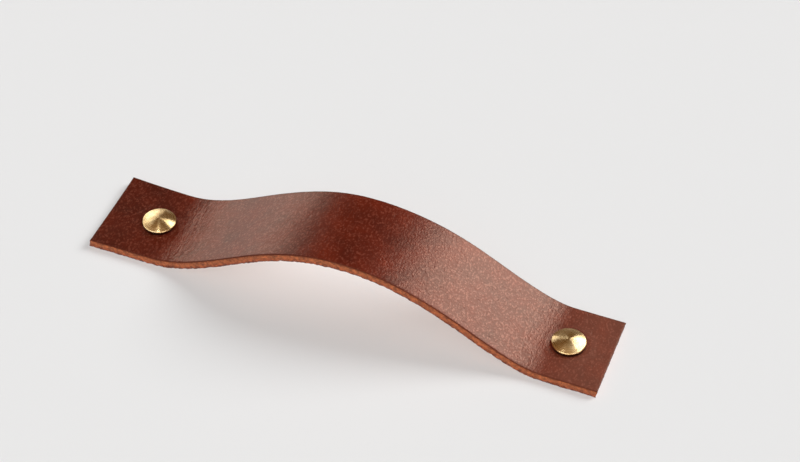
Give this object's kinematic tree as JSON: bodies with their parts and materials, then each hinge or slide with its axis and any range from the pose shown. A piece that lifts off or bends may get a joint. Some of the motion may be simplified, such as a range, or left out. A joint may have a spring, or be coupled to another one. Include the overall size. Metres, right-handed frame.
{
  "type": "leather drawer handle",
  "caption": "Arched leather strap pull for a drawer or cabinet door, held at each end by a domed, tapped brass stud.",
  "frame": {"origin": "middle of the strap's rectangular footprint, on the plane of the drawer face that the two tabs lie on", "axes": "+X along the strap towards the end with the shorter tab, +Y across the strap, +Z out of the drawer face, towards the crown of the arch"},
  "size_m": [0.1568, 0.028, 0.0233],
  "materials": {
    "leather": "dark reddish brown full-grain leather, satin, with raw orange-brown cut edges",
    "brass": "turned, bright, with fine circular tool marks"
  },
  "bodies": {
    "root": {"leather_strap": "leather", "left_stud": "brass", "right_stud": "brass"}
  },
  "joints": []
}
